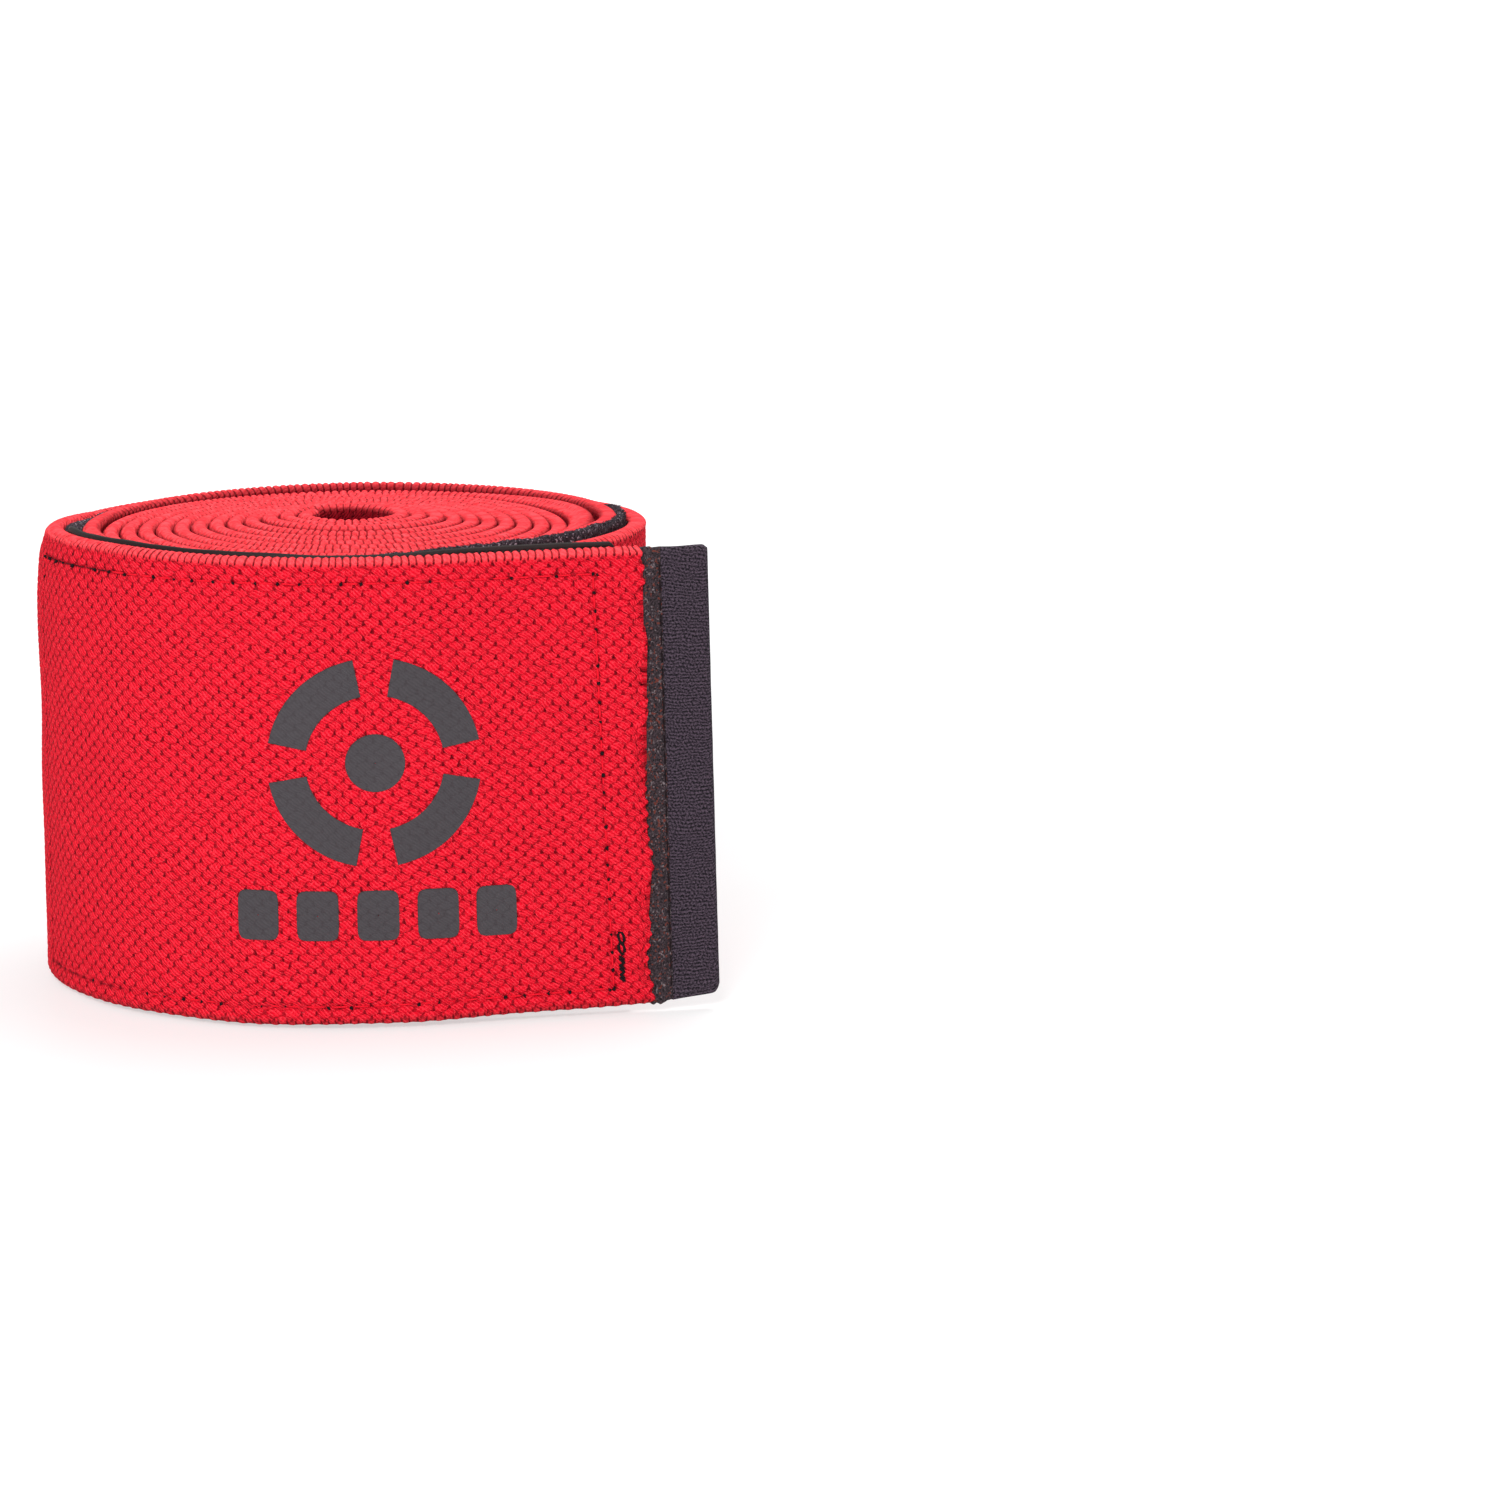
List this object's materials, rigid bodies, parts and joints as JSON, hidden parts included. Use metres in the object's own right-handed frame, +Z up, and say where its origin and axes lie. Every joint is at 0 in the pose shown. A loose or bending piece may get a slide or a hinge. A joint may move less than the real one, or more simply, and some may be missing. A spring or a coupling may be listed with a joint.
{
  "type": "hand wrap",
  "caption": "Rolled elastic hand wrap for boxing, with a hook-and-loop end that peels open and a flexible pull tab.",
  "frame": {"origin": "middle of the footprint of the rolled wrap, on the surface it stands on", "axes": "+Z up along the roll's axis, -Y the printed front, +X the side that the pull tab points to"},
  "size_m": [0.0742, 0.0676, 0.0509],
  "materials": {
    "band_knit": "matte ribbed elastic knit",
    "hook_tape": "woven tape with nylon hooks",
    "loop_tape": "brushed loop pile",
    "tab_tape": "fine twill tape",
    "thumb_tape": "narrow woven tape",
    "red_thread": "polyester thread",
    "black_thread": "polyester thread",
    "emblem_film": "satin heat-transfer film"
  },
  "bodies": {
    "roll": {"band_core_turns": "band_knit", "band_outer_turns": "band_knit", "loop_patch": "loop_tape", "loop_patch_seam": "black_thread", "thumb_loop": "thumb_tape", "thumb_loop_seam": "red_thread"},
    "end_flap": {"band_end_flap": "band_knit", "hook_patch": "hook_tape", "hook_patch_seam": "red_thread", "hook_patch_back_tack": "black_thread", "pull_tab_hem": "tab_tape", "pull_tab_seam": "black_thread", "emblem_ring": "emblem_film", "emblem_dot": "emblem_film", "emblem_bars": "emblem_film"},
    "pull_tab": {"pull_tab": "tab_tape"}
  },
  "joints": [
    {"name": "end_flap_peel", "type": "hinge", "parent": "roll", "child": "end_flap", "pos_m": [-0.03646, -0.00596, 0.0254], "axis": [0, 0, -1], "range_deg": [0, 120]},
    {"name": "pull_tab_flex", "type": "hinge", "parent": "end_flap", "child": "pull_tab", "pos_m": [0.03309, -0.02502, 0.0254], "axis": [0, 0, -1], "range_deg": [-50, 80]}
  ]
}
